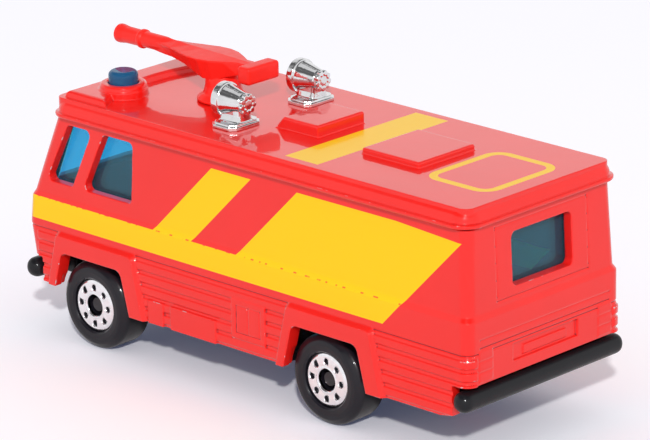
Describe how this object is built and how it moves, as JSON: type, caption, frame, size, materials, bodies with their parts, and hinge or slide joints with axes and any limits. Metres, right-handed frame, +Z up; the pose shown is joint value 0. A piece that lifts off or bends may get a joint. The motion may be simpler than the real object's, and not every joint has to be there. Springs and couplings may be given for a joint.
{
  "type": "die-cast toy airport fire truck",
  "caption": "Pocket-size die-cast toy of an airport foam fire truck: red shell, tinted glazing, black base with bumpers, free wheels, swivelling roof cannon.",
  "frame": {"origin": "on the ground at the middle of the bounding box's base, midway between the bumpers", "axes": "+X forward, +Y to the vehicle's left, +Z up"},
  "size_m": [0.0826, 0.0316, 0.0421],
  "materials": {
    "red_enamel": "gloss die-cast enamel with yellow stripes",
    "blue_glazing": "tinted clear moulding",
    "black_plastic": "satin moulded",
    "red_plastic": "gloss moulded",
    "bright_plating": "vacuum plated plastic",
    "axle_steel": "bright wire",
    "wheel_plastic": "black with a silver stamped disc"
  },
  "bodies": {
    "truck": {"body_shell": "red_enamel", "glazing": "blue_glazing", "base_plate": "black_plastic", "spotlight_left": "bright_plating", "spotlight_right": "bright_plating", "axle_front": "axle_steel", "axle_rear": "axle_steel"},
    "cannon": {"cannon": "red_plastic"},
    "wheel_front_left": {"wheel_front_left": "wheel_plastic"},
    "wheel_front_right": {"wheel_front_right": "wheel_plastic"},
    "wheel_rear_left": {"wheel_rear_left": "wheel_plastic"},
    "wheel_rear_right": {"wheel_rear_right": "wheel_plastic"}
  },
  "joints": [
    {"name": "cannon_swivel", "type": "hinge", "parent": "truck", "child": "cannon", "pos_m": [0.017, 0, 0.0351], "axis": [0, 0, 1], "range_deg": [-12, 12]},
    {"name": "wheel_front_left_spin", "type": "hinge", "parent": "truck", "child": "wheel_front_left", "pos_m": [0.029, 0.01155, 0.00625], "axis": [0, 1, 0], "continuous": true},
    {"name": "wheel_front_right_spin", "type": "hinge", "parent": "truck", "child": "wheel_front_right", "pos_m": [0.029, -0.01155, 0.00625], "axis": [0, 1, 0], "continuous": true},
    {"name": "wheel_rear_left_spin", "type": "hinge", "parent": "truck", "child": "wheel_rear_left", "pos_m": [-0.0151, 0.01155, 0.00625], "axis": [0, 1, 0], "continuous": true},
    {"name": "wheel_rear_right_spin", "type": "hinge", "parent": "truck", "child": "wheel_rear_right", "pos_m": [-0.0151, -0.01155, 0.00625], "axis": [0, 1, 0], "continuous": true}
  ]
}
